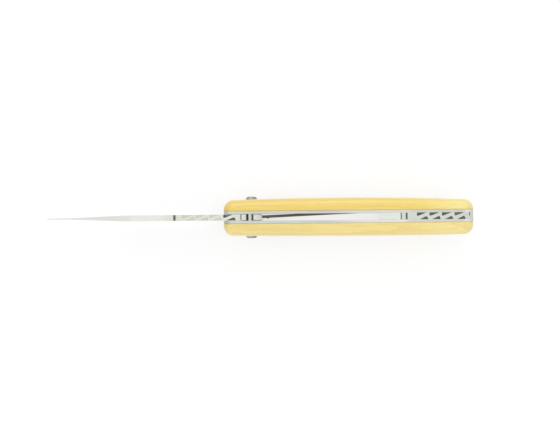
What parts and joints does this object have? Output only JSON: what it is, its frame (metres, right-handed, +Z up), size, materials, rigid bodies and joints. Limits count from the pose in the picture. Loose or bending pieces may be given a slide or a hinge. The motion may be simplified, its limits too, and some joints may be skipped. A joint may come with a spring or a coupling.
{
  "type": "folding knife",
  "caption": "Open folding pocket knife with a liner lock, pale wooden scales, and triangular filework on the blade spine and the rear spacer.",
  "frame": {"origin": "bottom centre of the bounding box, with the open knife standing on the belly of its handle", "axes": "+X along the knife from the tip towards the butt, +Y through the thickness towards the lock side, +Z up from the belly to the back"},
  "size_m": [0.1888, 0.0184, 0.0227],
  "materials": {
    "boxwood": "oiled, satin",
    "blade_steel": "fine satin",
    "liner_steel": "satin",
    "spacer_steel": "satin",
    "pivot_steel": "polished",
    "pin_steel": "flush ground",
    "washer_bronze": "turned",
    "ball_steel": "polished"
  },
  "bodies": {
    "handle": {"lock_liner": "liner_steel", "plain_liner": "liner_steel", "lock_side_scale": "boxwood", "plain_side_scale": "boxwood", "back_spacer": "spacer_steel", "pivot_screw": "pivot_steel", "pivot_barrel": "pivot_steel", "lock_side_washer": "washer_bronze", "plain_side_washer": "washer_bronze", "stop_pin": "pin_steel", "spacer_rivet_front": "pin_steel", "spacer_rivet_rear": "pin_steel", "lock_scale_pin_front": "pin_steel", "lock_scale_pin_middle": "pin_steel", "lock_scale_pin_rear": "pin_steel", "plain_scale_pin_front": "pin_steel", "plain_scale_pin_middle": "pin_steel", "plain_scale_pin_rear": "pin_steel"},
    "blade": {"blade": "blade_steel"},
    "lock": {"lock_bar": "liner_steel", "detent_ball": "ball_steel"}
  },
  "joints": [
    {"name": "blade_fold", "type": "hinge", "parent": "handle", "child": "blade", "pos_m": [-0.00345, 0, 0.012], "axis": [0, -1, 0], "range_deg": [0, 180]},
    {"name": "lock_flex", "type": "hinge", "parent": "handle", "child": "lock", "pos_m": [0.04455, 0.0021, 0.012], "axis": [0, 0, -1], "range_deg": [0, 2.43], "deforming": ["lock_bar", "detent_ball"]}
  ],
  "couplings": [
    {"joint": "lock_flex", "follows": "blade_fold", "ratio": 0.0135}
  ]
}
